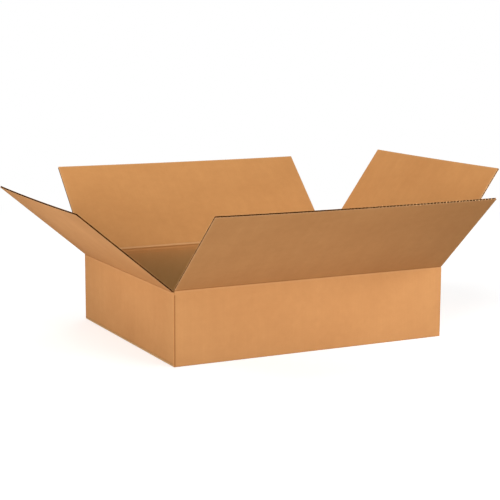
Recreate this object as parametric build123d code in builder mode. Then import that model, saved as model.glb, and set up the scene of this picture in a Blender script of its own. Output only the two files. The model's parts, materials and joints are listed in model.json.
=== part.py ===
# Open corrugated carton of the slotted kind, folded from one sheet of single-wall board.
# Its base flaps are closed and its four top flaps stand open on their scored hinge lines.
# Millimetres, +Z up, +X along the length, origin at the centre of the underside.

from build123d import *
import os

# Carton: inside of the walls, and the hinge height of the two outer flaps (front and back)
inner_length = 635.0
inner_width = 508.0
outer_score_height = 156.5

# Single-wall board: two flat liners and a fluted medium between them
board = 4.0
liner = 0.4
medium = 0.35
flute_pitch = 8.0
flute_crest = 1.5

# Folds, slots and the gaps between boards
corner_radius = 3.0
base_radius = 2.0
lap_gap = 0.3
crease_gap = 0.3
base_seam_gap = 0.5
top_seam_gap = 4.0
outer_flap_relief = 1.6
inner_flap_gap = 2.6
crush_band = 10.0
overrun = 1.0

# Glued tab inside the back right corner
tab_width = 35.0
tab_thickness = 2.5
tab_taper = 9.0
tab_relief = 6.0

# How far each top flap leans outwards from upright, in degrees
front_tilt = 48.0
back_tilt = 45.5
left_tilt = 50.0
right_tilt = 35.5

# Derived sizes
outer_length = inner_length + 2 * board
outer_width = inner_width + 2 * board
lap_height = board + lap_gap
inner_score_height = outer_score_height - lap_height
hinge_proud = crease_gap / 2
outer_flap_width = outer_length - 2 * outer_flap_relief
inner_flap_width = inner_width - 2 * inner_flap_gap
outer_base_reach = (outer_width - base_seam_gap) / 2
inner_base_reach = outer_base_reach + lap_height
outer_flap_reach = (outer_width - top_seam_gap) / 2 + hinge_proud
inner_flap_reach = outer_flap_reach + lap_height
void_height = board - 2 * liner - medium
void_mouth = flute_pitch - flute_crest - medium


def mitre_outline(half_inside, score_height):
    """Waste above a wall's 45 degree mitre, which falls from the score on its outer face to its inner face."""
    low = half_inside - overrun
    high = half_inside + board + overrun
    outer_edge = score_height - crease_gap
    top = outer_score_height + overrun
    return [(low, outer_edge - board - overrun), (high, outer_edge + overrun), (high, top), (low, top)]


def hinge_plane(outward, distance, height, tilt):
    """Plane at the middle of a hinge line: x along it, y from the flap's outer face inwards, z up the leaning flap."""
    up = Vector(0, 0, 1)
    along = up.cross(outward)
    lean = up.rotate(Axis((0, 0, 0), along), tilt)
    return Plane(outward * distance + up * height, x_dir=along, z_dir=lean)


def make_flap(label, hinge, width, reach):
    """One top flap of fluted board, mitred at its root for the fold.

    The flutes are open at the outer edge, run down the flap and end where the score has crushed them.
    """
    inner_face = hinge_proud + board
    side = Plane(hinge.origin, x_dir=hinge.y_dir, z_dir=hinge.x_dir)
    slant = Vector(void_mouth - flute_crest, 2 * void_height).get_angle(Vector(1, 0))
    flutes = int(width / flute_pitch) - 1
    with BuildPart() as flap:
        with BuildSketch(side):
            with BuildLine():
                Polyline(
                    (hinge_proud, crease_gap),
                    (inner_face, crease_gap + board),
                    (inner_face, reach),
                    (hinge_proud, reach),
                    close=True,
                )
            make_face()
        extrude(amount=width / 2, both=True)
        with BuildSketch(hinge.offset(reach)):
            with Locations((-flute_pitch / 4, hinge_proud + liner + void_height / 2)):
                with GridLocations(flute_pitch, 0, flutes, 1):
                    Trapezoid(void_mouth, void_height, slant)
            with Locations((flute_pitch / 4, inner_face - liner - void_height / 2)):
                with GridLocations(flute_pitch, 0, flutes, 1):
                    Trapezoid(void_mouth, void_height, slant, rotation=180)
        extrude(amount=crush_band - reach, mode=Mode.SUBTRACT)
    flap.part.label = label
    return flap.part


# Waste outside a rounded fold: the square corner at the origin, the board towards -x and -y
with BuildSketch(mode=Mode.PRIVATE) as fold_waste:
    Rectangle(base_radius, base_radius, align=(Align.MAX, Align.MAX))
    with Locations((-base_radius, -base_radius)):
        Circle(base_radius, mode=Mode.SUBTRACT)

# Carton body: four walls, the closed base flaps and the glued tab, one folded sheet
with BuildPart() as carton_body:
    with BuildSketch() as wall_ring:
        Rectangle(outer_length, outer_width)
        fillet(wall_ring.vertices().sort_by(lambda corner: corner.X + corner.Y)[:-1], corner_radius)
        Rectangle(inner_length, inner_width, mode=Mode.SUBTRACT)
        # Groove beside the raw edge of the back wall, where the right wall folds in behind it
        with Locations((outer_length / 2, inner_width / 2)):
            add(fold_waste.sketch, mode=Mode.SUBTRACT)
    extrude(amount=outer_score_height)

    # End walls stand on the outer base flaps, and stop lower for the inner flaps' score
    with BuildSketch() as end_wall_foot:
        with GridLocations(inner_length + board, 0, 2, 1):
            Rectangle(board + 2 * overrun, inner_width)
    extrude(amount=lap_height, mode=Mode.SUBTRACT)
    with BuildSketch(Plane.XZ) as end_wall_mitre:
        with BuildLine():
            Polyline(*mitre_outline(inner_length / 2, inner_score_height), close=True)
        make_face()
        mirror(about=Plane.YZ)
    extrude(amount=inner_width / 2, both=True, mode=Mode.SUBTRACT)
    with BuildSketch(Plane.YZ) as side_wall_mitre:
        with BuildLine():
            Polyline(*mitre_outline(inner_width / 2, outer_score_height), close=True)
        make_face()
        mirror(about=Plane.YZ)
    extrude(amount=outer_length / 2 + overrun, both=True, mode=Mode.SUBTRACT)

    # Base: the inner flaps lie across the outer ones, which meet along the middle
    with BuildSketch() as outer_base_flaps:
        with GridLocations(0, outer_base_reach + base_seam_gap, 1, 2):
            Rectangle(outer_flap_width, outer_base_reach)
    extrude(amount=board)
    with BuildSketch(Plane.XY.offset(lap_height)) as inner_base_flaps:
        with GridLocations(outer_length - inner_base_reach, 0, 2, 1):
            Rectangle(inner_base_reach, inner_flap_width)
    extrude(amount=board)

    # Tab on the right wall, glued to the inside of the back wall
    with BuildSketch(Plane.XZ.offset(-inner_width / 2)) as glued_tab:
        tab_foot = lap_height + board + tab_relief
        tab_head = inner_score_height - 2 * board - tab_relief
        with BuildLine():
            Polyline(
                (inner_length / 2, tab_foot),
                (inner_length / 2, tab_head),
                (inner_length / 2 - tab_width, tab_head - tab_taper),
                (inner_length / 2 - tab_width, tab_foot + tab_taper),
                close=True,
            )
        make_face()
    extrude(amount=tab_thickness)

    # Rounded folds along the foot of the side walls and of the end walls
    side_folds = carton_body.edges().filter_by(Axis.X).group_by(Axis.Z)[0]
    fillet(side_folds.sort_by(lambda fold: abs(fold.center().Y))[-2:], base_radius)
    with BuildSketch(Plane.XZ) as end_folds:
        with Locations((outer_length / 2, lap_height)):
            add(fold_waste.sketch, rotation=-90)
        mirror(about=Plane.YZ)
    extrude(amount=inner_width / 2, both=True, mode=Mode.SUBTRACT)
carton_body.part.label = "carton_body"

# Top flaps, each on the score line of its own wall
half_length_hinge = outer_length / 2 + hinge_proud
half_width_hinge = outer_width / 2 + hinge_proud
front_hinge = hinge_plane(Vector(0, -1, 0), half_width_hinge, outer_score_height, front_tilt)
back_hinge = hinge_plane(Vector(0, 1, 0), half_width_hinge, outer_score_height, back_tilt)
left_hinge = hinge_plane(Vector(-1, 0, 0), half_length_hinge, inner_score_height, left_tilt)
right_hinge = hinge_plane(Vector(1, 0, 0), half_length_hinge, inner_score_height, right_tilt)
front_flap = make_flap("front_flap", front_hinge, outer_flap_width, outer_flap_reach)
back_flap = make_flap("back_flap", back_hinge, outer_flap_width, outer_flap_reach)
left_flap = make_flap("left_flap", left_hinge, inner_flap_width, inner_flap_reach)
right_flap = make_flap("right_flap", right_hinge, inner_flap_width, inner_flap_reach)

os.makedirs("parts", exist_ok=True)
export_step(carton_body.part, "parts/carton_body.step")
for flap in (front_flap, back_flap, left_flap, right_flap):
    export_step(flap, f"parts/{flap.label}.step")
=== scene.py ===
"""Open corrugated carton: walls, closed base and four leaning top flaps of fluted kraft board."""

import json
import math
from collections import namedtuple

import bmesh
import bpy
import numpy as np
from bpy.props import FloatProperty, FloatVectorProperty, PointerProperty
from mathutils import Matrix, Vector


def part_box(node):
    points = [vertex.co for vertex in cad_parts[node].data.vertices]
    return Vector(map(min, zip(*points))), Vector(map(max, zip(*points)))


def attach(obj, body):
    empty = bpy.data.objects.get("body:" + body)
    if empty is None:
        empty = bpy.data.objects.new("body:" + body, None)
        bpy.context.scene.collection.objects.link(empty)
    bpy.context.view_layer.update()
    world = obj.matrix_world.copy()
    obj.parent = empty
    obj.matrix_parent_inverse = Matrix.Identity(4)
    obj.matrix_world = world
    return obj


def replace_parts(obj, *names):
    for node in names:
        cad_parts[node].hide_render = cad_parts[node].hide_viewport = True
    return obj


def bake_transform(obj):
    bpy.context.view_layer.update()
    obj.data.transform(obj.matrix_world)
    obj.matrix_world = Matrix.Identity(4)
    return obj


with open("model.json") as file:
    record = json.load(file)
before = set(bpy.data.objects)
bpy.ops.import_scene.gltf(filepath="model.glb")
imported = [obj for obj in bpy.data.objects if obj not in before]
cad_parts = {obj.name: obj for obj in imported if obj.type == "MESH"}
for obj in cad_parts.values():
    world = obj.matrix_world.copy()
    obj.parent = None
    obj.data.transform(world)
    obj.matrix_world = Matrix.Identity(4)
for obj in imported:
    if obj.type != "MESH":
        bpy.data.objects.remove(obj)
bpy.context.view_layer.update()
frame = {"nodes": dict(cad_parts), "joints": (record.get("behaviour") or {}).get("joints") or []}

bl_info = {
    "name": "Open corrugated carton",
    "version": (1, 0, 0),
    "blender": (4, 5, 0),
    "location": "View3D > Sidebar > Carton",
    "description": "Builds an open slotted carton of fluted kraft board around its packed frame",
    "category": "Object",
}

UP = np.array([0.0, 0.0, 1.0])
WHITE = (1.0, 1.0, 1.0, 1.0)
FULL_TURN, QUARTER_TURN = 2 * math.pi, math.pi / 2
LINER_SLOT, CUT_SLOT = 0, 1
# Marks on the meshes: painted shade along scores and folds, painted highlight beside scores with paler cut
# edges, painted shade inside
MARKS = ("score", "rub", "well")

# One flat stretch of board: where its outer face starts, its three directions, its size and its fold
Panel = namedtuple(
    "Panel",
    "origin along rise inward half_width start reach tilt hinge_proud blank_u blank_v v_sign bow_floor",
)
# A patch of surface: points, blank coordinates, score, paling and painted shade marks, quads and their
# material slot
Patch = namedtuple("Patch", "points blank marks quads slot")
# A soft line across the board: its strength, its place past the score and its width
Line = namedtuple("Line", "strength place width")
# A studio light: where it stands, what it faces, and its width and height
Lamp = namedtuple("Lamp", "place target size")

# Flat blank, on which the paper's pattern lies
INSIDE_SHIFT = 3.0  # moves the inside liner's part of the blank clear of the outside's
FLAP_BAND = 0.009  # wall below the score that is drawn with the flap, so that the fold is one surface

# Score: its pressed groove, the rolls beside it, the crushed board, and their marks on each liner
GROOVE_WIDTH, CRUSH_WIDTH = 0.0009, 0.0030
BEAD_PLACE, BEAD_WIDTH = 0.0026, 0.0013
# Painted shade along each score, and painted highlight on the rolls beside it
SCORE_OUTSIDE, SCORE_INSIDE = Line(1.0, 0.0, 0.0011), Line(0.75, -0.0008, 0.0012)
ROLL_OUTSIDE, ROLL_INSIDE = Line(0.2, -0.0024, 0.0012), Line(0.9, 0.0018, 0.0014)

# Cut edges: fade of their pinch and paling, and the waves along a side cut that open and close its groove
EDGE_FADE = 0.003
CUT_PALING, CUT_PALING_FADE = 0.75, 0.0014
SLOW_WAVE, QUICK_WAVE, QUICK_SHARE, QUICK_SHIFT = 41.0, 97.0, 0.6, 9.0
GROOVE_LIFT, GROOVE_LEAST = 1.1, 0.12
PRESSED_LIPS = {"front": 0.19, "right": 0.33}  # share of the board a liner fills in a pressed side cut

# Fluted paper in the open edge: how its fraying comes and goes along the blank, and its marks
FRAY_START, FRAY_LENGTH = 1.5, 2.0
FRAY_MIDDLE, FRAY_SWING = 0.5, 0.8
SLANT_LIMIT = 1.6  # most that a flank of the wave thickens in the cut by lying at a slant
PAPER_SETBACK = 0.0002
CLEAN_MARK, FRAY_MARK = 1.6, 0.8
# Painted shade: the cut faces in the mouth of the open flutes get a full score mark, which darkens them
MOUTH_SHADE_MARKS = np.array([1.0, 0.0, 0.0])  # the open flutes are as dark as a score

# Painted shade inside the carton, darker further down
PAINTED_SHADE_FADE, BASE_PAINTED_SHADE = 0.025, 0.6

# Walls, base and glued corner
SEAM_GAP = 0.00005
INNER_RADIUS = 0.0015
CORNER_RISE = 0.0004  # wall corners stand this far above the lower scores
# Painted shade: a dark line down each wall corner's fold, carried as a score mark
CORNER_MARK, CORNER_MARK_WIDTH = 1.5, 0.0014
RAW_STEP = 0.0006  # the raw end's inner liner stops short of the outer one
BASE_SIDE_GAP, BASE_EXTRA, BASE_SEAM_HALF = 0.0005, 0.0012, 0.00025
TAB_WIDTH, TAB_THICKNESS, TAB_TAPER, TAB_RELIEF = 0.035, 0.0025, 0.009, 0.006
TAB_BITE, TAB_ROUND, TAB_ROUND_FADE = 0.0002, 0.0006, 0.0008

# Meshes: sample counts, finest steps, and what is merged or shaded sharp
PANEL_COLUMNS, PANEL_ROWS, PANEL_FINE = 33, 17, 0.0006
CREASE_SPAN, CREASE_STEP = 0.010, 0.00075
WAVE_STEPS = 14
WALL_COLUMNS, WALL_ROWS, WALL_FINE = 33, 13, 0.0008
TAB_COLUMNS, TAB_ROWS = 9, 13
CORNER_STEPS, CORNER_LINE, JOINT_STEPS, FOOT_STEPS = 9, 6, 7, 6
DECIMALS = 7
MERGE_DISTANCE, EMPTY_LENGTH = 2e-6, 1e-7
SHARP_ANGLE = math.radians(38)

# Shares of each effect in the liner's colour, and bump heights in metres
STREAK_SHARE, FLECK_SHARE, WAVE_SHARE, BAND_SHARE = 0.22, 0.28, 0.07, 0.3
# Painted highlight with paler cut edges, painted shade along scores, and painted shade in the open flutes'
# mouth
HIGHLIGHT_AND_PALE_SHARE, SCORE_SHARE, MOUTH_SHADE_SHARE = 0.6, 0.6, 0.8
STREAK_HEIGHT, WAVE_HEIGHT, STAIN_HEIGHT = 0.00006, 0.00004, 0.00012

# Studio
FLOOR_DROP = 0.0006
FLOOR_NEAR, FLOOR_FAR = 0.8, 2.2  # the floor fades into the white surround between these distances
SENSOR_WIDTH = 36.0
LAMPS = {
    "front": Lamp((1.35, -2.95, 2.05), (0.05, 0.1, 0.2), (1.8, 1.6)),
    "right": Lamp((1.35, -1.2, 1.05), (0.25, -0.26, 0.03), (0.4, 0.4)),
    "left": Lamp((-5.0, -4.2, 1.6), (-0.2, -0.1, 0.2), (2.5, 2.6)),
    "top": Lamp((-1.7, 0.0, 3.0), (0.1, 0.0, 0.2), (1.2, 1.2)),
    "back": Lamp((1.9, 2.8, 1.0), (0.2, 0.2, 0.2), (2.0, 1.2)),
    "floor": Lamp((-0.15, -0.65, 0.004), (-0.15, -0.65, 1.0), (0.7, 0.5)),
    "end": Lamp((-0.75, -0.05, 0.004), (-0.75, -0.05, 1.0), (0.6, 0.6)),
}


def metres(name, description, default):
    """Property for a length."""
    return FloatProperty(name=name, description=description, default=default, unit="LENGTH")


def degrees(name, description, default):
    """Property for an angle, whose default is given in degrees."""
    return FloatProperty(name=name, description=description, default=math.radians(default), unit="ROTATION")


def watts(name, description, default):
    """Property for a light's power."""
    return FloatProperty(name=name, description=description, default=default, unit="POWER")


def tone(name, description, default):
    """Property for a colour."""
    return FloatVectorProperty(
        name=name, description=description, default=default, subtype="COLOR", min=0, max=1
    )


class CartonBoard(bpy.types.PropertyGroup):
    """Sizes of the board, its flutes, scores and folds."""

    liner: metres("Liner", "Thickness of each flat liner", 0.00035)
    medium: metres("Medium", "Thickness of the fluted paper", 0.0003)
    flute_pitch: metres("Flute pitch", "Distance from crest to crest", 0.008)
    flute_depth: metres("Flute depth", "How far in the open flutes are modelled", 0.018)
    side_depth: metres("Side depth", "Depth of the groove in an edge along the flutes", 0.003)
    end_wall: metres("End wall", "Board between that groove and the open flutes", 0.0008)
    crease_half: metres("Crease half-width", "Board on each side of a score that bends", 0.0035)
    score_crush: metres("Score crush", "How far a score presses the inside liner in", 0.0013)
    score_groove: metres("Score groove", "Depth of the groove outside a score", 0.0005)
    score_bead: metres("Score bead", "Height of the roll beside a score", 0.0002)
    fray: FloatProperty(
        name="Fray", description="How much thicker a flank of the flutes is where the cut has frayed it",
        default=4.5,
    )
    edge_pinch: metres("Edge pinch", "Board thickness lost at a cut edge", 0.0004)
    corner_radius: metres("Corner radius", "Outside radius of the wall corners", 0.003)
    fold_radius: metres("Fold radius", "Outside radius of the folds at the base", 0.0012)
    wall_bow: metres("Wall bow", "How far the middle of a wall stands out", 0.0009)
    flap_bow: metres("Flap bow", "How far the middle of a flap's outer edge sags outwards", 0.002)


class CartonKraft(bpy.types.PropertyGroup):
    """Colours of the kraft liner and of the raw board."""

    liner: tone("Liner", "Main colour of the kraft liner", (0.700, 0.344, 0.133))
    shade: tone("Shade", "Darker cloudy areas of the liner", (0.612, 0.288, 0.107))
    # Also the colour of the painted shade along scores and corner folds
    fleck: tone("Fleck", "Dark fibres in the liner", (0.310, 0.112, 0.030))
    # Painted highlight on the rolls beside the scores, and paler paper along cut edges and frayed flutes
    rub: tone("Rub", "Paler paper where folds have rubbed", (0.830, 0.540, 0.280))
    # Partly the paper's own darker colour and partly painted shade of the hollow flutes
    flute: tone("Flute", "Fluted paper and glue inside the board", (0.270, 0.075, 0.012))
    # Stains, and the painted shade in the mouth of the open flutes
    flute_stain_and_shade: tone("Flute dark", "Stained spots inside the board", (0.050, 0.013, 0.002))
    inside_tint: tone("Inside tint", "Tone of the inside liner against the outside one", (1.0, 0.985, 0.90))
    # Painted shade: the liner turns darker and more olive further down inside the carton and on its base
    painted_shade_tint: tone("Well tint", "Tone of the liner down inside the walls", (0.63, 0.80, 0.83))


class CartonStudio(bpy.types.PropertyGroup):
    """Camera, lights and floor."""

    camera_place: FloatVectorProperty(
        name="Camera place", description="Where the camera stands", subtype="TRANSLATION", unit="LENGTH",
        default=(-1.392, -2.712, 0.684),
    )
    camera_turn: degrees("Camera turn", "Heading of the view, from +Y towards +X", 26.814)
    camera_dip: degrees("Camera dip", "How far the view looks down", 9.433)
    camera_roll: degrees("Camera roll", "Turn about the line of sight", 0.222)
    lens: FloatProperty(name="Lens", description="Focal length", default=98.52, unit="CAMERA")
    floor_size: metres("Floor size", "Side of the square floor", 30.0)
    floor: tone("Floor", "Colour of the floor as it lights the carton", (0.28, 0.28, 0.27))
    floor_seen: FloatProperty(
        name="Floor seen", description="Brightness of the floor as the camera sees it",
        default=0.62, min=0, max=1,
    )
    floor_glow: FloatProperty(
        name="Floor glow", description="Light added to the floor as the camera sees it",
        default=0.62, min=0, max=1,
    )
    ambient: FloatProperty(name="Ambient", description="Strength of the even light all round", default=0.3)
    front_power: watts("Front power", "High light in front, watts", 34.5)
    right_power: watts("Right power", "Narrow light on the front wall's right end, watts", 0.367)
    right_spread: degrees("Right spread", "Angle over which the light at the right spreads", 26)
    left_power: watts("Left power", "Large light, far off at the left, watts", 282.0)
    top_power: watts("Top power", "Overhead light, watts", 19.9)
    back_power: watts("Back power", "Light from behind, watts", 45.0)
    floor_power: watts("Floor power", "Light thrown up by the floor in front, watts", 0.606)
    end_power: watts("End power", "Light thrown up by the floor at the left end, watts", 0.993)


def smooth_step(t):
    """Cubic rise from 0 to 1 as t goes from 0 to 1: t squared times (3 - 2t)."""
    t = np.clip(t, 0.0, 1.0)
    return t * t * (3.0 - 2.0 * t)


def bell(distance, width):
    """Gaussian bump: e to the minus (distance over width) squared."""
    return np.exp(-((distance / width) ** 2))


def line_mark(line, s):
    """Strength of a soft line at s past the score: a Gaussian bump about the line's place."""
    return line.strength * bell(s - line.place, line.width)


def graded(low, high, count, fine, levels=5):
    """Samples from low to high, evenly spaced, with extra ones that close in on both ends down to fine."""
    middle = np.linspace(low, high, count)
    near = fine * 2.0 ** np.arange(levels)
    near = near[near < 0.4 * (high - low)]
    return np.unique(np.concatenate([middle, low + near, high - near]).round(DECIMALS))


def grid_quads(rows, columns, wrap_columns=False):
    """Quads between neighbouring points of a grid that is numbered row by row."""
    row, column = np.meshgrid(
        np.arange(rows - 1), np.arange(columns if wrap_columns else columns - 1), indexing="ij"
    )
    right = (column + 1) % columns
    low, high = row * columns, (row + 1) * columns
    corners = [low + column, low + right, high + right, high + column]
    return np.stack([c.ravel() for c in corners], axis=1)


class Side:
    """One of the four sides of the carton: its directions, sizes and hinge, all read from the frame."""

    def __init__(self, name, outward):
        joint = next(j for j in frame["joints"] if j["child"] == f"{name}_flap")
        body_high = np.array(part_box("carton_body")[1])
        self.name = name
        self.outward = np.array(outward, float)
        self.along = np.cross(UP, self.outward)
        self.hinge = np.array(joint["pos_m"], float)
        self.tilt = math.radians(-joint["range_deg"][0]) - QUARTER_TURN
        self.face = float(np.abs(self.outward) @ body_high)
        self.half = float(np.abs(self.along) @ body_high)
        self.proud = float(self.hinge @ self.outward) - self.face
        self.score = float(self.hinge[2])
        mesh = frame["nodes"][f"{name}_flap"].data
        points = np.empty(len(mesh.vertices) * 3, np.float32)
        mesh.vertices.foreach_get("co", points)
        offset = points.reshape(-1, 3).astype(float) - self.hinge
        lean = UP * math.cos(self.tilt) + self.outward * math.sin(self.tilt)
        through = np.cross(lean, self.along)
        self.reach = float((offset @ lean).max())
        self.flap_half = float((offset @ self.along).max())
        self.board = float(np.ptp(offset @ through))


SIDES = {
    "back": Side("back", (0, 1, 0)),
    "left": Side("left", (-1, 0, 0)),
    "front": Side("front", (0, -1, 0)),
    "right": Side("right", (1, 0, 0)),
}
BOARD = SIDES["front"].board
LAP = SIDES["front"].score - SIDES["left"].score  # one board and the air over it
LENGTH, WIDTH = 2 * SIDES["front"].half, 2 * SIDES["left"].half
BLANK_START = {"back": 0.0, "left": LENGTH, "front": LENGTH + WIDTH, "right": 2 * LENGTH + WIDTH}


def wall_stand_out(across, height, foot, score, board):
    """Bow of a wall: a parabola across it times half a sine wave up it, nothing at its four edges."""
    rise = np.clip((height - foot) / (score - foot), 0.0, 1.0)
    return board.wall_bow * np.clip(1.0 - across**2, 0.0, 1.0) * np.sin(math.pi * rise)


def edge_distance(panel, x, s):
    """Distance from a point of a panel to its nearest cut edge."""
    return np.maximum(np.minimum(panel.half_width - np.abs(x), panel.reach - s), 0.0)


def past_score(panel, s):
    """Rises from 0 on the score to 1 a little past it, and is 1 all over a panel without one."""
    return smooth_step(s / EDGE_FADE) if panel.tilt else 1.0


def panel_points(panel, x, s, f, board):
    """Points of a panel at x across, s along and thickness share f, 0 on the outer face and 1 on the inner.

    The flat board is pressed in at its score, pinched at its cut edges and bowed, and then turned
    about the hinge by its tilt times a smooth step of s, so that it bends over the crease alone.
    """
    x, s, f = np.broadcast_arrays(x, s, f)
    scored = 1.0 if panel.tilt else 0.0
    groove = scored * board.score_groove * bell(s, GROOVE_WIDTH)
    bead = scored * board.score_bead * (bell(s + BEAD_PLACE, BEAD_WIDTH) + bell(s - BEAD_PLACE, BEAD_WIDTH))
    crush = scored * board.score_crush * np.exp(-((s / CRUSH_WIDTH) ** 4))
    pinch = past_score(panel, s) * board.edge_pinch * np.exp(-edge_distance(panel, x, s) / EDGE_FADE)
    thickness = BOARD - crush - pinch
    across = x / panel.half_width
    sag = scored * board.flap_bow * np.clip(1.0 - across**2, 0.0, 1.0) * smooth_step(s / panel.reach)
    depth = panel.hinge_proud + groove - bead - sag + f * thickness
    if panel.tilt:
        bow = wall_stand_out(across, panel.origin[2] + s, panel.bow_floor, panel.origin[2], board)
        depth = depth - np.where(s < 0, bow, 0.0)
    turn = panel.tilt * smooth_step((s + board.crease_half) / (2 * board.crease_half))
    inward = depth * np.cos(turn) - s * np.sin(turn) - panel.hinge_proud
    rise = depth * np.sin(turn) + s * np.cos(turn)
    return (
        panel.origin
        + x[..., None] * panel.along
        + rise[..., None] * panel.rise
        + inward[..., None] * panel.inward
    )


def panel_blank(panel, x, s, f):
    """Place of a panel's points on the flat blank, with the inside liner's shifted clear."""
    x, s, f = np.broadcast_arrays(x, s, f)
    v = panel.blank_v + panel.v_sign * s + INSIDE_SHIFT * (f > 0.5)
    return np.stack([panel.blank_u + x, v], axis=-1)


def deep_down(depth):
    """Share of the painted shade at a depth below the score: 1 less e to the minus depth over its fade."""
    return 1.0 - np.exp(-np.maximum(depth, 0.0) / PAINTED_SHADE_FADE)


def panel_marks(panel, x, s, f):
    """Marks: painted shade on the score's line and inside, painted highlight on the roll beside it, paler cut
    edges.
    """
    x, s, f = np.broadcast_arrays(x, s, f)
    scored = 1.0 if panel.tilt else 0.0
    inside = f > 0.5
    score = scored * np.where(inside, line_mark(SCORE_INSIDE, s), line_mark(SCORE_OUTSIDE, s))
    roll = scored * np.where(inside, line_mark(ROLL_INSIDE, s), line_mark(ROLL_OUTSIDE, s))
    cut = CUT_PALING * past_score(panel, s) * np.exp(-edge_distance(panel, x, s) / CUT_PALING_FADE)
    well = inside * (deep_down(-s) if panel.tilt else BASE_PAINTED_SHADE)
    return np.stack([score, np.maximum(roll, cut), well], axis=-1)


def panel_patch(panel, x, s, f, slot, board, quads):
    """Patch of a panel from arrays of x, s and f of one shape."""
    return Patch(
        panel_points(panel, x, s, f, board).reshape(-1, 3),
        panel_blank(panel, x, s, f).reshape(-1, 2),
        panel_marks(panel, x, s, f).reshape(-1, 3),
        quads,
        slot,
    )


def panel_samples(panel):
    """Samples across and along a panel: even, closer at its edges and closest over its crease."""
    across = graded(-panel.half_width, panel.half_width, PANEL_COLUMNS, PANEL_FINE)
    crease = np.arange(panel.start, CREASE_SPAN, CREASE_STEP) if panel.tilt else np.empty(0)
    plain = graded(CREASE_SPAN if panel.tilt else panel.start, panel.reach, PANEL_ROWS, PANEL_FINE)
    return across, np.unique(np.concatenate([crease, plain]).round(DECIMALS))


def panel_patches(panel, board, side_depth, pressed_lip=None):
    """Closed board: two liners, the rim, the root and, in an open edge, the fluted paper.

    The liners are grids of x by s on the outer and the inner face. The root closes the board where it
    meets the wall. Without a side depth the edges are plain.
    """
    xs, ss = panel_samples(panel)
    lip = board.liner / BOARD
    patches = []
    for f in (0.0, 1.0):
        x, s = np.meshgrid(xs, ss, indexing="xy")
        quads = grid_quads(len(ss), len(xs))
        patches.append(panel_patch(panel, x, s, np.full_like(x, f), LINER_SLOT, board, quads))
    patches.extend(rim_patches(panel, board, xs, ss, side_depth, pressed_lip or lip))
    x, f = np.meshgrid(xs, np.array([0.0, lip, 1 - lip, 1.0] if side_depth else [0.0, 1.0]), indexing="xy")
    root_s = np.full_like(x, ss[0])
    patches.append(panel_patch(panel, x, root_s, f, LINER_SLOT, board, grid_quads(len(x), len(xs))))
    if side_depth:
        patches.extend(flute_patches(panel, board, side_depth))
    return patches


def rim_patches(panel, board, xs, ss, side_depth, pressed_lip):
    """Rim of a board: a profile carried up the left edge, along the open edge and down the right one.

    The profile runs over the outer liner's thickness, into the groove or the mouth of the flutes,
    across it and back out over the inner liner's. A slow and a quick sine wave along the side cuts open
    and close their groove, and where a cut is pressed its liners fill more of the thickness.
    """
    half, count = panel.half_width, len(ss)
    off_root = smooth_step(ss / EDGE_FADE)
    waves = np.sin(SLOW_WAVE * ss + panel.reach)
    waves = waves + QUICK_SHARE * np.sin(QUICK_WAVE * ss + QUICK_SHIFT * panel.blank_u)
    openness = GROOVE_LEAST + (1 - GROOVE_LEAST) * smooth_step(waves + GROOVE_LIFT)
    groove = side_depth * openness * off_root
    mouth_half, mouth_floor = half - side_depth - board.end_wall, panel.reach - board.flute_depth
    mouth_x = np.clip(xs, -mouth_half, mouth_half)
    path_x = np.concatenate([np.full(count, -half), xs[[0]], xs, xs[[-1]], np.full(count, half)])
    path_s = np.concatenate([ss, np.full(len(xs) + 2, panel.reach), ss[::-1]])
    inner_x = np.concatenate([groove - half, mouth_x[[0]], mouth_x, mouth_x[[-1]], (half - groove)[::-1]])
    inner_s = np.concatenate([ss, [panel.reach], np.full(len(xs), mouth_floor), [panel.reach], ss[::-1]])
    step = np.arange(len(path_x) - 1)
    on_side = (step < count - 1) | (step >= len(path_x) - count)
    lip = board.liner / BOARD
    pressed = (pressed_lip - lip) * off_root * smooth_step((panel.reach - ss) / EDGE_FADE)
    lips = lip + np.concatenate([pressed, np.zeros(len(xs) + 2), pressed[::-1]])

    # Each profile is a list of deep or not, and thickness share
    profiles = [([(False, 0.0), (False, 1.0)], LINER_SLOT)]
    if side_depth:
        profiles = [
            ([(False, 0.0), (False, lips)], LINER_SLOT),
            ([(False, lips), (True, lips), (True, 1 - lips), (False, 1 - lips)], CUT_SLOT),
            ([(False, 1 - lips), (False, 1.0)], LINER_SLOT),
        ]
    patches = []
    for profile, slot in profiles:
        x = np.stack([inner_x if deep else path_x for deep, _ in profile])
        s = np.stack([inner_s if deep else path_s for deep, _ in profile])
        f = np.stack([np.broadcast_to(share, len(path_x)) for _, share in profile])
        rim = panel_patch(panel, x, s, f, slot, board, grid_quads(len(profile), len(path_x)))
        side_quads = np.tile(on_side, len(profile) - 1)
        # Painted shade in the mouth of the open flutes
        mouth_shade_marks = rim.marks + (MOUTH_SHADE_MARKS if slot == CUT_SLOT else 0.0)
        patches.append(rim._replace(quads=rim.quads[~side_quads], marks=mouth_shade_marks))
        patches.append(rim._replace(quads=rim.quads[side_quads]))
    return patches


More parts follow.
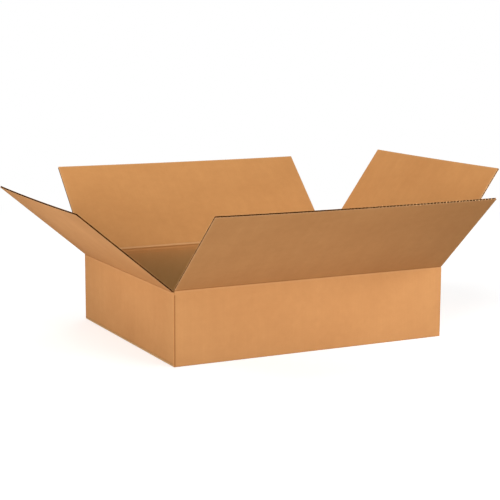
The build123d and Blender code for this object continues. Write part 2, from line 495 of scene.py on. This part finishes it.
def flute_patches(panel, board, side_depth):
    """Fluted paper in the open edge: a flat strip carried along a sine wave through the board.

    The cut is clean or frayed by a slow sine wave along the blank. Where it is frayed, the rising flank
    of each wave is thick and pale, and the rest stays thin and dark.
    """
    half = panel.half_width - side_depth - board.end_wall
    waves = int(2 * half / board.flute_pitch)
    x = np.linspace(-half, half, waves * WAVE_STEPS + 1)
    phase = FULL_TURN * waves * (x + half) / (2 * half)
    slow_phase = FULL_TURN * (panel.blank_u + x - FRAY_START) / FRAY_LENGTH
    stretch = smooth_step(FRAY_MIDDLE + FRAY_SWING * np.sin(slow_phase))
    frayed = stretch * np.clip(np.cos(phase), 0.0, 1.0)
    paper = board.medium * (1 + board.fray * frayed)
    swing = 0.5 - (board.liner + board.medium / 2) / BOARD
    middle = 0.5 + swing * np.sin(phase)
    slope = swing * BOARD * FULL_TURN / board.flute_pitch * np.cos(phase)
    half_paper = paper / 2 / BOARD * np.minimum(np.sqrt(1 + slope**2), SLANT_LIMIT)
    low, high = panel.reach - board.flute_depth, panel.reach - PAPER_SETBACK
    loop = [(low, -1), (high, -1), (high, 1), (low, 1)]
    s = np.stack([np.full_like(x, along) for along, _ in loop], axis=1)
    f = np.stack([middle + way * half_paper for _, way in loop], axis=1)
    quads = grid_quads(len(x), len(loop), wrap_columns=True)
    cut_end = np.arange(len(quads)) % len(loop) == 1
    first_cap = np.arange(len(loop))
    caps = np.stack([first_cap, first_cap + (len(x) - 1) * len(loop)])
    across = np.repeat(x[:, None], len(loop), axis=1)
    end_marks = np.stack([CLEAN_MARK * (1 - frayed), FRAY_MARK * frayed, np.zeros_like(x)], axis=-1)
    strip = panel_patch(panel, across, s, f, LINER_SLOT, board, quads[cut_end])
    strip = strip._replace(marks=np.repeat(end_marks, len(loop), axis=0))
    return [strip, strip._replace(quads=np.concatenate([quads[~cut_end], caps]), slot=CUT_SLOT)]


def mesh_from_patches(name, patches, materials):
    """Joins patches into one closed mesh with its blank coordinates and marks, faces outwards."""
    counts = np.cumsum([0] + [len(p.points) for p in patches])
    points = np.concatenate([p.points for p in patches])
    blank = np.concatenate([p.blank for p in patches])
    marks = np.concatenate([p.marks for p in patches])
    quads = np.concatenate([p.quads + first for p, first in zip(patches, counts)])
    slots = np.concatenate([np.full(len(p.quads), p.slot) for p in patches])

    mesh = bpy.data.meshes.new(name)
    mesh.vertices.add(len(points))
    mesh.vertices.foreach_set("co", points.astype(np.float32).ravel())
    mesh.loops.add(quads.size)
    mesh.loops.foreach_set("vertex_index", quads.astype(np.int32).ravel())
    mesh.polygons.add(len(quads))
    mesh.polygons.foreach_set("loop_start", np.arange(0, quads.size, 4, dtype=np.int32))
    mesh.polygons.foreach_set("material_index", slots.astype(np.int32))
    mesh.update(calc_edges=True)
    mesh.uv_layers.new(name="blank").data.foreach_set("uv", blank[quads.ravel()].astype(np.float32).ravel())
    for column, mark in enumerate(MARKS):
        attribute = mesh.attributes.new(mark, "FLOAT", "POINT")
        attribute.data.foreach_set("value", marks[:, column].astype(np.float32))

    work = bmesh.new()
    work.from_mesh(mesh)
    bmesh.ops.remove_doubles(work, verts=work.verts, dist=MERGE_DISTANCE)
    bmesh.ops.dissolve_degenerate(work, edges=work.edges, dist=EMPTY_LENGTH)
    bmesh.ops.recalc_face_normals(work, faces=work.faces)
    work.to_mesh(mesh)
    work.free()
    mesh.polygons.foreach_set("use_smooth", np.ones(len(mesh.polygons), bool))
    mesh.set_sharp_from_angle(angle=SHARP_ANGLE)
    for material in materials:
        mesh.materials.append(material)
    if not len(mesh.polygons):
        raise RuntimeError(f"{name} came out empty")
    piece = bpy.data.objects.new(name, mesh)
    bpy.context.scene.collection.objects.link(piece)
    return piece


def wall_foot(side):
    """Height at which a wall folds into its base flap: the end walls stand on the outer base flaps."""
    return BOARD + SEAM_GAP if side.name in ("left", "right") else 0.0


def flap_panel(side):
    """Panel of a top flap with the band of wall below its score."""
    return Panel(
        origin=side.hinge - side.proud * side.outward, along=side.along, rise=UP, inward=-side.outward,
        half_width=side.flap_half, start=-FLAP_BAND, reach=side.reach,
        tilt=side.tilt, hinge_proud=side.proud,
        blank_u=BLANK_START[side.name] + side.half, blank_v=side.score, v_sign=1, bow_floor=wall_foot(side),
    )


def base_panel(side, board):
    """Panel of a closed base flap, lying flat from its wall's fold towards the middle."""
    foot = wall_foot(side)
    opposite = side.face if foot == 0.0 else SIDES["front"].face + LAP
    return Panel(
        origin=side.outward * (side.face - board.fold_radius) + UP * foot,
        along=side.along, rise=-side.outward, inward=UP,
        half_width=min(side.half - BASE_SIDE_GAP, side.flap_half + BASE_EXTRA),
        start=0.0, reach=opposite - BASE_SEAM_HALF - board.fold_radius,
        tilt=0.0, hinge_proud=0.0,
        blank_u=BLANK_START[side.name] + side.half, blank_v=-board.fold_radius, v_sign=-1, bow_floor=foot,
    )


def ring_outline(board):
    """Plan of the walls as matching outer and inner points, with foot, top and blank place of each.

    It runs against the clock from the raw end of the back wall: along each side, round each folded
    corner on a quarter circle, and at the last corner into the groove of the glued joint.
    """
    keys = ("outer", "inner", "normal", "across", "foot", "top", "score", "cut", "fold")
    columns = {key: [] for key in keys}
    corner_top = SIDES["left"].score + CORNER_RISE

    def add(outer, inner, normal, **singles):
        for key, value in (("outer", outer), ("inner", inner), ("normal", normal)):
            columns[key].append(np.broadcast_to(value, (len(outer), 2)))
        for key in keys[3:]:
            columns[key].append(np.broadcast_to(singles.get(key, 0.0), len(outer)))

    def corner_point(side, following, inset):
        return side.outward[:2] * (side.face - inset) + following.outward[:2] * (following.face - inset)

    names = list(SIDES)
    for name, next_name in zip(names, names[1:] + [None]):
        side = SIDES[name]
        outward, along = side.outward[:2], side.along[:2]
        straight = side.half - board.corner_radius
        flap_edge = min(side.flap_half, straight)
        inner_straight = side.half - BOARD - INNER_RADIUS
        start = -side.half if name == "back" else -straight
        end = straight if next_name else side.half - BOARD - board.fold_radius
        middle = graded(-flap_edge, flap_edge, WALL_COLUMNS, WALL_FINE)
        x = np.concatenate([[start, -flap_edge], middle, [flap_edge, end]])
        top = np.full(len(x), side.score - FLAP_BAND)
        top[[0, 1, -2, -1]] = corner_top
        outer = outward * side.face + x[:, None] * along
        inner_x = np.clip(x, -inner_straight, inner_straight)
        inner = outward * (side.face - BOARD) + inner_x[:, None] * along
        add(outer, inner, outward, across=x / side.half, foot=wall_foot(side), top=top, score=side.score)
        if next_name:
            following = SIDES[next_name]
            turn = np.linspace(0.0, QUARTER_TURN, CORNER_STEPS)
            normal = np.cos(turn)[:, None] * outward + np.sin(turn)[:, None] * following.outward[:2]
            outer = corner_point(side, following, board.corner_radius) + board.corner_radius * normal
            inner = corner_point(side, following, BOARD + INNER_RADIUS) + INNER_RADIUS * normal
            fold = np.arange(CORNER_STEPS) == CORNER_LINE
            add(outer, inner, normal, across=1.0, top=corner_top, score=side.score, fold=fold)

    # Glued joint: the right wall folds in behind the back wall, whose raw edge shows its groove
    right, back = SIDES["right"], SIDES["back"]
    radius, lip, deep = board.fold_radius, board.liner, board.side_depth
    back_inner = back.face - BOARD
    turn = np.linspace(0.0, QUARTER_TURN, JOINT_STEPS)[1:]
    bend_x, bend_y = right.face - radius + radius * np.cos(turn), back_inner - radius + radius * np.sin(turn)
    bend = np.stack([bend_x, bend_y], axis=1)
    raw = np.array([
        [right.face - RAW_STEP, back_inner],
        [right.face - RAW_STEP, back_inner + lip],
        [right.face - deep, back_inner + lip],
        [right.face - deep, back.face - lip],
        [right.face, back.face - lip],
    ])
    spread = np.linspace(0.0, QUARTER_TURN, len(bend) + len(raw))
    arc = np.stack([np.cos(spread), np.sin(spread)], axis=1)
    around = corner_point(right, back, BOARD + INNER_RADIUS) + INNER_RADIUS * arc
    joint = {"across": 1.0, "top": corner_top, "score": right.score}
    add(bend, around[: len(bend)], np.zeros(2), **joint)
    add(raw, around[len(bend):], np.zeros(2), cut=1.0, **joint)
    return {key: np.concatenate(value) for key, value in columns.items()}


def wall_patches(board):
    """Ring of four walls: rows up the outer and inner faces of the plan, closed over its foot and top.

    The lowest rows of the outer face follow a quarter circle inwards, which starts the fold into the base.
    """
    ring = ring_outline(board)
    count = len(ring["outer"])
    radius = board.fold_radius
    turn = np.linspace(0.0, QUARTER_TURN, FOOT_STEPS)[:-1]
    climb = graded(0.0, 1.0, WALL_ROWS, fine=0.02, levels=3)
    inset = np.concatenate([radius * (1 - np.sin(turn)), np.zeros(len(climb))])
    arc_rise = np.concatenate([radius * (1 - np.cos(turn)), np.full(len(climb), radius)])
    share = np.concatenate([np.zeros(len(turn)), climb])
    span = ring["top"] - ring["foot"] - radius
    height = ring["foot"] + arc_rise[:, None] + share[:, None] * span
    bow = wall_stand_out(ring["across"], height, ring["foot"], ring["score"], board)
    u = np.concatenate([[0.0], np.cumsum(np.linalg.norm(np.diff(ring["outer"], axis=0), axis=1))])
    is_cut = ring["cut"] > 0
    near_fold = bell(np.abs(u[:, None] - u[ring["fold"] > 0]).min(axis=1), CORNER_MARK_WIDTH)
    patches = []
    faces = []
    for plan, inside in ((ring["outer"], 0.0), (ring["inner"], 1.0)):
        shift = bow - (1.0 - inside) * inset[:, None]
        plane = plan + shift[..., None] * ring["normal"]
        points = np.concatenate([plane, height[..., None]], axis=-1)
        faces.append(points)
        blank = np.stack([np.broadcast_to(u, height.shape), height + INSIDE_SHIFT * inside], axis=-1)
        # Painted shade: darker inside further below the score, and a dark line down each corner fold outside
        fold_line = np.broadcast_to(near_fold * (1.0 - inside), height.shape)
        well = inside * deep_down(ring["score"] - height)
        marks = np.stack([CORNER_MARK * fold_line, np.zeros_like(fold_line), well], axis=-1)
        quads = grid_quads(len(height), count, wrap_columns=True)
        face = Patch(points.reshape(-1, 3), blank.reshape(-1, 2), marks.reshape(-1, 3), quads, LINER_SLOT)
        raw = np.tile(is_cut | np.roll(is_cut, -1), len(height) - 1) & (inside == 0.0)
        patches.append(face._replace(quads=quads[~raw]))
        if raw.any():
            patches.append(face._replace(quads=quads[raw], slot=CUT_SLOT))
    for row in (0, -1):
        points = np.concatenate([face[row] for face in faces])
        blank = np.concatenate([np.stack([u, height[row]], axis=1)] * 2)
        quads = grid_quads(2, count, wrap_columns=True)
        patches.append(Patch(points, blank, np.zeros((2 * count, 3)), quads, LINER_SLOT))
    return patches


def tab_patches():
    """Glued tab: a thin tapered plate on the inside of the back wall, a grid with its edge turned back."""
    right, back = SIDES["right"], SIDES["back"]
    low, high = LAP + BOARD + TAB_RELIEF, right.score - 2 * BOARD - TAB_RELIEF
    across = graded(0.0, 1.0, TAB_COLUMNS, fine=0.02, levels=3)
    up = graded(0.0, 1.0, TAB_ROWS, fine=0.01, levels=3)
    p, q = np.meshgrid(across, up, indexing="xy")
    x = right.face - BOARD - TAB_WIDTH * p
    z = low + TAB_TAPER * p + q * (high - low - 2 * TAB_TAPER * p)
    face = back.face - BOARD + TAB_BITE
    edge = np.minimum(np.minimum(q, 1 - q) * (high - low), (1 - p) * TAB_WIDTH)
    y = face - TAB_THICKNESS + TAB_ROUND * np.exp(-edge / TAB_ROUND_FADE)
    number = np.arange(p.size).reshape(p.shape)
    border = np.concatenate([number[0], number[1:, -1], number[-1, -2::-1], number[-2:0:-1, 0]])
    front = np.stack([x, y, z], axis=-1).reshape(-1, 3)
    rear = front.copy()
    rear[:, 1] = face
    blank = np.stack([x + 2 * (LENGTH + WIDTH), z + INSIDE_SHIFT], axis=-1).reshape(-1, 2)
    quads = grid_quads(len(up), len(across))
    # The tab is in full painted shade, as if deep inside the carton
    marks = np.tile([0.0, 0.0, 1.0], (len(front), 1))
    rim_points = np.concatenate([front[border], rear[border]])
    rim_blank = np.concatenate([blank[border], blank[border]])
    rim_quads = grid_quads(2, len(border), wrap_columns=True)
    return [
        Patch(front, blank, marks, quads, LINER_SLOT),
        Patch(rear, blank, marks, quads, LINER_SLOT),
        Patch(rim_points, rim_blank, np.zeros((2 * len(border), 3)), rim_quads, LINER_SLOT),
    ]


def node_maker(tree):
    """Short way to add a node with its inputs and settings, and to link sockets into it."""

    def make(kind, inputs=None, **settings):
        node = tree.nodes.new(kind)
        for key, value in settings.items():
            setattr(node, key, value)
        for key, value in (inputs or {}).items():
            if isinstance(value, bpy.types.NodeSocket):
                tree.links.new(value, node.inputs[key])
            else:
                node.inputs[key].default_value = value
        return node

    return make


def new_group(name, inputs, outputs):
    """Empty shader group with named sockets; returns it, its maker, its input sockets and its output node."""
    group = bpy.data.node_groups.new(name, "ShaderNodeTree")
    for socket, kind in inputs.items():
        group.interface.new_socket(socket, in_out="INPUT", socket_type=f"NodeSocket{kind}")
    for socket in outputs:
        group.interface.new_socket(socket, in_out="OUTPUT", socket_type="NodeSocketFloat")
    make = node_maker(group)
    return group, make, make("NodeGroupInput").outputs, make("NodeGroupOutput")


def new_material(name):
    """Empty node material and its maker."""
    material = bpy.data.materials.new(name)
    material.use_nodes = True
    material.node_tree.nodes.clear()
    return material, node_maker(material.node_tree)


def opaque(colour):
    """RGB with full alpha."""
    return (*colour, 1.0)


def noise(make, vector, scale, detail, roughness=0.5):
    """Value of a noise texture on a vector."""
    inputs = {"Vector": vector, "Scale": scale, "Detail": detail, "Roughness": roughness}
    return make("ShaderNodeTexNoise", inputs).outputs["Fac"]


def stretched(make, vector, across, along, turn=0.0):
    """Vector scaled across and along the flutes, turned by an angle."""
    inputs = {"Vector": vector, "Scale": (across, along, 1.0), "Rotation": (0.0, 0.0, turn)}
    return make("ShaderNodeMapping", inputs).outputs[0]


def scaled(make, value, factor, clamp=False):
    """Value times a factor, held between 0 and 1 where clamped."""
    return make("ShaderNodeMath", {0: value, 1: factor}, operation="MULTIPLY", use_clamp=clamp).outputs[0]


def summed(make, value, factor, rest):
    """Value times a factor, plus the rest."""
    return make("ShaderNodeMath", {0: value, 1: factor, 2: rest}, operation="MULTIPLY_ADD").outputs[0]


def ramp(make, value, low, high, to_low=0.0, to_high=1.0):
    """Straight change from to_low to to_high as a value goes from low to high, level beyond."""
    inputs = {"Value": value, "From Min": low, "From Max": high, "To Min": to_low, "To Max": to_high}
    return make("ShaderNodeMapRange", inputs).outputs[0]


def mix_colour(make, share, low, high, way="MIX"):
    """Colour mix: low where share is 0, high, or low and high joined in another way, where it is 1."""
    return make("ShaderNodeMix", {0: share, 6: low, 7: high}, data_type="RGBA", blend_type=way).outputs[2]


def mark_value(make, name):
    """One of the marks that the meshes carry."""
    return make("ShaderNodeAttribute", attribute_name=name).outputs["Fac"]


def cloud_group():
    """Cloudy tone of paper: two sizes of noise on the blank, from 0 dark to 1 light."""
    inputs = {"Blank": "Vector", "Large": "Float", "Small": "Float"}
    group, make, given, out = new_group("Paper clouds", inputs, ["Tone"])
    large = noise(make, given["Blank"], given["Large"], detail=4.0, roughness=0.55)
    small = noise(make, given["Blank"], given["Small"], detail=5.0, roughness=0.6)
    joined = summed(make, small, 0.35, scaled(make, large, 0.65))
    group.links.new(ramp(make, joined, 0.33, 0.67), out.inputs["Tone"])
    return group


def fibre_group():
    """Fine fibres that lie across the flutes: stretched noise for streaks, thresholded noise for flecks."""
    group, make, given, out = new_group("Paper fibres", {"Blank": "Vector"}, ["Streak", "Fleck"])
    streak_place = stretched(make, given["Blank"], across=90.0, along=620.0)
    fleck_place = stretched(make, given["Blank"], across=260.0, along=620.0, turn=0.35)
    streak = noise(make, streak_place, 1.0, detail=3.0, roughness=0.6)
    fleck = noise(make, fleck_place, 1.0, detail=2.0)
    group.links.new(streak, out.inputs["Streak"])
    group.links.new(ramp(make, fleck, 0.68, 0.80), out.inputs["Fleck"])
    return group


def washboard_group():
    """Flutes showing through the liner: a sine wave across the blank, broken by noise, and broad bands."""
    inputs = {"Blank": "Vector", "Pitch": "Float"}
    group, make, given, out = new_group("Flute washboard", inputs, ["Wave", "Band"])
    across = make("ShaderNodeSeparateXYZ", {"Vector": given["Blank"]}).outputs["X"]
    turns = make("ShaderNodeMath", {0: across, 1: given["Pitch"]}, operation="DIVIDE").outputs[0]
    wave = make("ShaderNodeMath", {0: scaled(make, turns, FULL_TURN)}, operation="SINE").outputs[0]
    broken = scaled(make, wave, noise(make, given["Blank"], scale=14.0, detail=2.0))
    band_place = stretched(make, given["Blank"], across=38.0, along=1.6)
    band = noise(make, band_place, 1.0, detail=3.0, roughness=0.55)
    group.links.new(broken, out.inputs["Wave"])
    group.links.new(band, out.inputs["Band"])
    return group


def board_surface(make, colour, rough, height, bump, shine):
    """Principled surface with bumps of a height in metres, joined to the material's output."""
    normal = make("ShaderNodeBump", {"Height": height, "Strength": bump, "Distance": 1.0}).outputs[0]
    inputs = {"Base Color": colour, "Roughness": rough, "Normal": normal, "Specular IOR Level": shine}
    shader = make("ShaderNodeBsdfPrincipled", inputs)
    make("ShaderNodeOutputMaterial", {"Surface": shader.outputs[0]})


def liner_material(kraft, board, groups):
    """Kraft liner: cloudy tan paper with fibres, faint flutes, painted shade at scores and inside, painted
    fold highlights.
    """
    material, make = new_material("kraft_liner")
    blank = make("ShaderNodeUVMap", uv_map="blank").outputs[0]
    cloud_inputs = {"Blank": blank, "Large": 7.0, "Small": 55.0}
    flute_inputs = {"Blank": blank, "Pitch": board.flute_pitch}
    clouds = make("ShaderNodeGroup", cloud_inputs, node_tree=groups["clouds"]).outputs["Tone"]
    fibres = make("ShaderNodeGroup", {"Blank": blank}, node_tree=groups["fibres"]).outputs
    flutes = make("ShaderNodeGroup", flute_inputs, node_tree=groups["flutes"]).outputs
    shade, fleck = opaque(kraft.shade), opaque(kraft.fleck)

    colour = mix_colour(make, clouds, shade, opaque(kraft.liner))
    colour = mix_colour(make, ramp(make, fibres["Streak"], 0.35, 0.75, 0.0, STREAK_SHARE), colour, shade)
    colour = mix_colour(make, scaled(make, fibres["Fleck"], FLECK_SHARE), colour, fleck)
    colour = mix_colour(make, ramp(make, flutes["Wave"], -0.5, 0.5, 0.0, WAVE_SHARE), colour, shade)
    colour = mix_colour(make, ramp(make, flutes["Band"], 0.35, 0.65, 0.0, BAND_SHARE), colour, shade)
    row = make("ShaderNodeSeparateXYZ", {"Vector": blank}).outputs["Y"]
    is_inside = make("ShaderNodeMath", {0: row, 1: INSIDE_SHIFT / 2}, operation="GREATER_THAN").outputs[0]
    tint = mix_colour(make, is_inside, WHITE, opaque(kraft.inside_tint))
    # Painted shade, darker further down inside the carton
    tint = mix_colour(make, mark_value(make, "well"), tint, opaque(kraft.painted_shade_tint))
    colour = mix_colour(make, 1.0, colour, tint, "MULTIPLY")
    # Painted highlight beside the scores, and paler cut edges and frayed flutes
    colour = mix_colour(make, scaled(make, mark_value(make, "rub"), HIGHLIGHT_AND_PALE_SHARE), colour, opaque(kraft.rub))
    # Painted shade along scores and wall corner folds
    colour = mix_colour(make, scaled(make, mark_value(make, "score"), SCORE_SHARE), colour, fleck)

    rough = ramp(make, clouds, 0.0, 1.0, to_low=0.86, to_high=0.76)
    height = summed(make, flutes["Wave"], WAVE_HEIGHT, scaled(make, fibres["Streak"], STREAK_HEIGHT))
    board_surface(make, colour, rough, height, bump=0.7, shine=0.08)
    return material


def cut_material(kraft, groups):
    """Inside of the board: fluted paper with stained spots, its own colour darkened by painted shade, most in
    open flutes.
    """
    material, make = new_material("board_inside")
    place = make("ShaderNodeTexCoord").outputs["Object"]
    cloud_inputs = {"Blank": place, "Large": 75.0, "Small": 260.0}
    clouds = make("ShaderNodeGroup", cloud_inputs, node_tree=groups["clouds"]).outputs["Tone"]
    dark = opaque(kraft.flute_stain_and_shade)
    stained = mix_colour(make, clouds, dark, opaque(kraft.flute))
    # Painted shade, darkest in the mouth of the open flutes
    colour = mix_colour(make, scaled(make, mark_value(make, "score"), MOUTH_SHADE_SHARE, clamp=True), stained, dark)
    rough = ramp(make, clouds, 0.0, 1.0, to_low=0.95, to_high=0.85)
    board_surface(make, colour, rough, scaled(make, clouds, STAIN_HEIGHT), bump=0.6, shine=0.0)
    return material


def board_materials(scene):
    """The liner and board inside materials, made once."""
    if "kraft_liner" not in bpy.data.materials:
        groups = {"clouds": cloud_group(), "fibres": fibre_group(), "flutes": washboard_group()}
        liner_material(scene.carton_kraft, scene.carton_board, groups)
        cut_material(scene.carton_kraft, groups)
    return [bpy.data.materials["kraft_liner"], bpy.data.materials["board_inside"]]


class CARTON_OT_walls(bpy.types.Operator):
    """Build the ring of four walls with its glued corner"""

    bl_idname = "carton.walls"
    bl_label = "Carton walls"

    def execute(self, context):
        board = context.scene.carton_board
        materials = board_materials(context.scene)
        walls = mesh_from_patches("carton_walls", wall_patches(board), materials)
        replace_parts(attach(walls, "carton"), "carton_body")
        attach(mesh_from_patches("glued_tab", tab_patches(), materials), "carton")
        return {"FINISHED"}


class CARTON_OT_base(bpy.types.Operator):
    """Build the four closed flaps of the base"""

    bl_idname = "carton.base"
    bl_label = "Carton base"

    def execute(self, context):
        board = context.scene.carton_board
        materials = board_materials(context.scene)
        for side in SIDES.values():
            depth = board.side_depth if wall_foot(side) else 0.0
            patches = panel_patches(base_panel(side, board), board, depth)
            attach(mesh_from_patches(f"{side.name}_base_flap", patches, materials), "carton")
        return {"FINISHED"}


class CARTON_OT_flaps(bpy.types.Operator):
    """Build the four top flaps, each one surface with the wall across its score"""

    bl_idname = "carton.flaps"
    bl_label = "Carton top flaps"

    def execute(self, context):
        board = context.scene.carton_board
        materials = board_materials(context.scene)
        for side in SIDES.values():
            name = f"{side.name}_flap"
            patches = panel_patches(flap_panel(side), board, board.side_depth, PRESSED_LIPS.get(side.name))
            flap = mesh_from_patches(f"{side.name}_top_flap", patches, materials)
            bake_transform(flap)
            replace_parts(flap, name)
        return {"FINISHED"}


class CARTON_OT_studio(bpy.types.Operator):
    """Set up the floor, the white surround, the lights and the camera"""

    bl_idname = "carton.studio"
    bl_label = "Carton studio"

    def execute(self, context):
        studio = context.scene.carton_studio
        context.scene.view_settings.view_transform = "Standard"
        make_floor(studio)
        make_world(context.scene, studio)
        for name, lamp in LAMPS.items():
            power, spread = getattr(studio, f"{name}_power"), getattr(studio, f"{name}_spread", math.pi)
            area_light(f"{name}_light", lamp, power, spread)
        make_camera(context.scene, studio)
        return {"FINISHED"}


def looked_at(make):
    """1 where the camera, gloss or glass looks at the surround, and 0 where it only gives light."""
    path = make("ShaderNodeLightPath")
    seen = path.outputs["Is Camera Ray"]
    for ray in ("Is Glossy Ray", "Is Transmission Ray"):
        seen = make("ShaderNodeMath", {0: seen, 1: path.outputs[ray]}, operation="MAXIMUM").outputs[0]
    return seen


def make_floor(studio):
    """Flat square floor just under the carton; the camera sees it near white, with the shadow kept."""
    half = studio.floor_size / 2
    corners = [(x * half, y * half, -FLOOR_DROP) for x, y in ((-1, -1), (1, -1), (1, 1), (-1, 1))]
    mesh = bpy.data.meshes.new("floor")
    mesh.from_pydata(corners, [], [(0, 1, 2, 3)])
    floor = bpy.data.objects.new("floor", mesh)
    bpy.context.scene.collection.objects.link(floor)
    material, make = new_material("pale_floor")
    lighting = make("ShaderNodeBsdfDiffuse", {"Color": opaque(studio.floor)})
    seen = make("ShaderNodeBsdfDiffuse", {"Color": opaque((studio.floor_seen,) * 3)})
    glow = make("ShaderNodeEmission", {"Strength": studio.floor_glow})
    near = make("ShaderNodeAddShader", {0: seen.outputs[0], 1: glow.outputs[0]})
    place = make("ShaderNodeTexCoord").outputs["Object"]
    distance = make("ShaderNodeVectorMath", {0: place}, operation="LENGTH").outputs["Value"]
    fade = {"Value": distance, "From Min": FLOOR_NEAR, "From Max": FLOOR_FAR}
    away = make("ShaderNodeMapRange", fade, interpolation_type="SMOOTHSTEP")
    white = make("ShaderNodeEmission", {"Strength": 1.0})
    bright = make("ShaderNodeMixShader", {0: away.outputs[0], 1: near.outputs[0], 2: white.outputs[0]})
    pick = make("ShaderNodeMixShader", {0: looked_at(make), 1: lighting.outputs[0], 2: bright.outputs[0]})
    make("ShaderNodeOutputMaterial", {"Surface": pick.outputs[0]})
    mesh.materials.append(material)


def make_world(scene, studio):
    """Even ambient light, and plain white where the camera, gloss or glass looks at the surround."""
    world = bpy.data.worlds.new("surround")
    scene.world = world
    world.use_nodes = True
    world.node_tree.nodes.clear()
    make = node_maker(world.node_tree)
    ambient = make("ShaderNodeBackground", {"Color": WHITE, "Strength": studio.ambient})
    white = make("ShaderNodeBackground", {"Color": WHITE, "Strength": 1.0})
    pick = make("ShaderNodeMixShader", {0: looked_at(make), 1: ambient.outputs[0], 2: white.outputs[0]})
    make("ShaderNodeOutputWorld", {"Surface": pick.outputs[0]})


def area_light(name, lamp, power, spread):
    """Soft light that the camera doesn't see, facing its target and spreading over an angle."""
    light = bpy.data.lights.new(name, "AREA")
    light.shape = "RECTANGLE"
    light.size, light.size_y = lamp.size
    light.energy = power
    light.spread = spread
    stand = bpy.data.objects.new(name, light)
    stand.visible_camera = False
    stand.location = lamp.place
    facing = Vector(lamp.target) - Vector(lamp.place)
    stand.rotation_euler = facing.to_track_quat("-Z", "Y").to_euler()
    bpy.context.scene.collection.objects.link(stand)


def make_camera(scene, studio):
    """Camera turned about Z to its heading, dipped about its own X and rolled about its line of sight."""
    data = bpy.data.cameras.new("camera")
    data.sensor_width = SENSOR_WIDTH
    data.lens = studio.lens
    camera = bpy.data.objects.new("camera", data)
    turn = Matrix.Rotation(-studio.camera_turn, 4, "Z")
    dip = Matrix.Rotation(QUARTER_TURN - studio.camera_dip, 4, "X")
    roll = Matrix.Rotation(studio.camera_roll, 4, "Z")
    camera.matrix_world = Matrix.Translation(studio.camera_place) @ turn @ dip @ roll
    scene.collection.objects.link(camera)
    scene.camera = camera


class CARTON_PT_sidebar(bpy.types.Panel):
    """Sizes, colours and build steps of the carton"""

    bl_idname = "CARTON_PT_sidebar"
    bl_label = "Carton"
    bl_space_type = "VIEW_3D"
    bl_region_type = "UI"
    bl_category = "Carton"

    def draw(self, context):
        for group in (context.scene.carton_board, context.scene.carton_kraft, context.scene.carton_studio):
            box = self.layout.box()
            for name in group.__annotations__:
                box.prop(group, name)
        for step in STEPS:
            self.layout.operator(step.bl_idname)


STEPS = (CARTON_OT_walls, CARTON_OT_base, CARTON_OT_flaps, CARTON_OT_studio)
SETTINGS = {"carton_board": CartonBoard, "carton_kraft": CartonKraft, "carton_studio": CartonStudio}


def register():
    for cls in (*SETTINGS.values(), *STEPS, CARTON_PT_sidebar):
        bpy.utils.register_class(cls)
    for name, group in SETTINGS.items():
        setattr(bpy.types.Scene, name, PointerProperty(type=group))


def unregister():
    for name in SETTINGS:
        delattr(bpy.types.Scene, name)
    for cls in reversed((*SETTINGS.values(), *STEPS, CARTON_PT_sidebar)):
        bpy.utils.unregister_class(cls)


def main():
    register()
    bpy.ops.carton.walls()
    bpy.ops.carton.base()
    bpy.ops.carton.flaps()
    bpy.ops.carton.studio()


if __name__ == "__main__":
    main()
